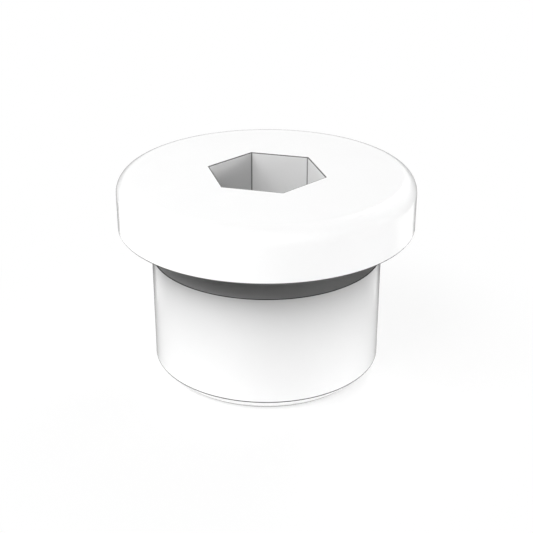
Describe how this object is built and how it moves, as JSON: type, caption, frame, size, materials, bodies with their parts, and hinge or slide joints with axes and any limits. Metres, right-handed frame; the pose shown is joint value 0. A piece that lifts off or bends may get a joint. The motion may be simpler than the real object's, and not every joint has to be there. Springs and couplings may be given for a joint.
{
  "type": "hex socket plug",
  "caption": "Collared screw plug with an inside hexagon: closes an M18 port, its collar pressing on a sealing ring.",
  "frame": {"origin": "middle of the end face, the bottom of the shank, where the plug stands", "axes": "+Z along the plug's axis, from the end face up to the collar and the socket's mouth; two of the hexagon's flats face +X and -X"},
  "size_m": [0.023, 0.023, 0.016],
  "materials": {
    "plug_white": "smooth, turned"
  },
  "bodies": {
    "root": {"plug_body": "plug_white"}
  },
  "joints": []
}
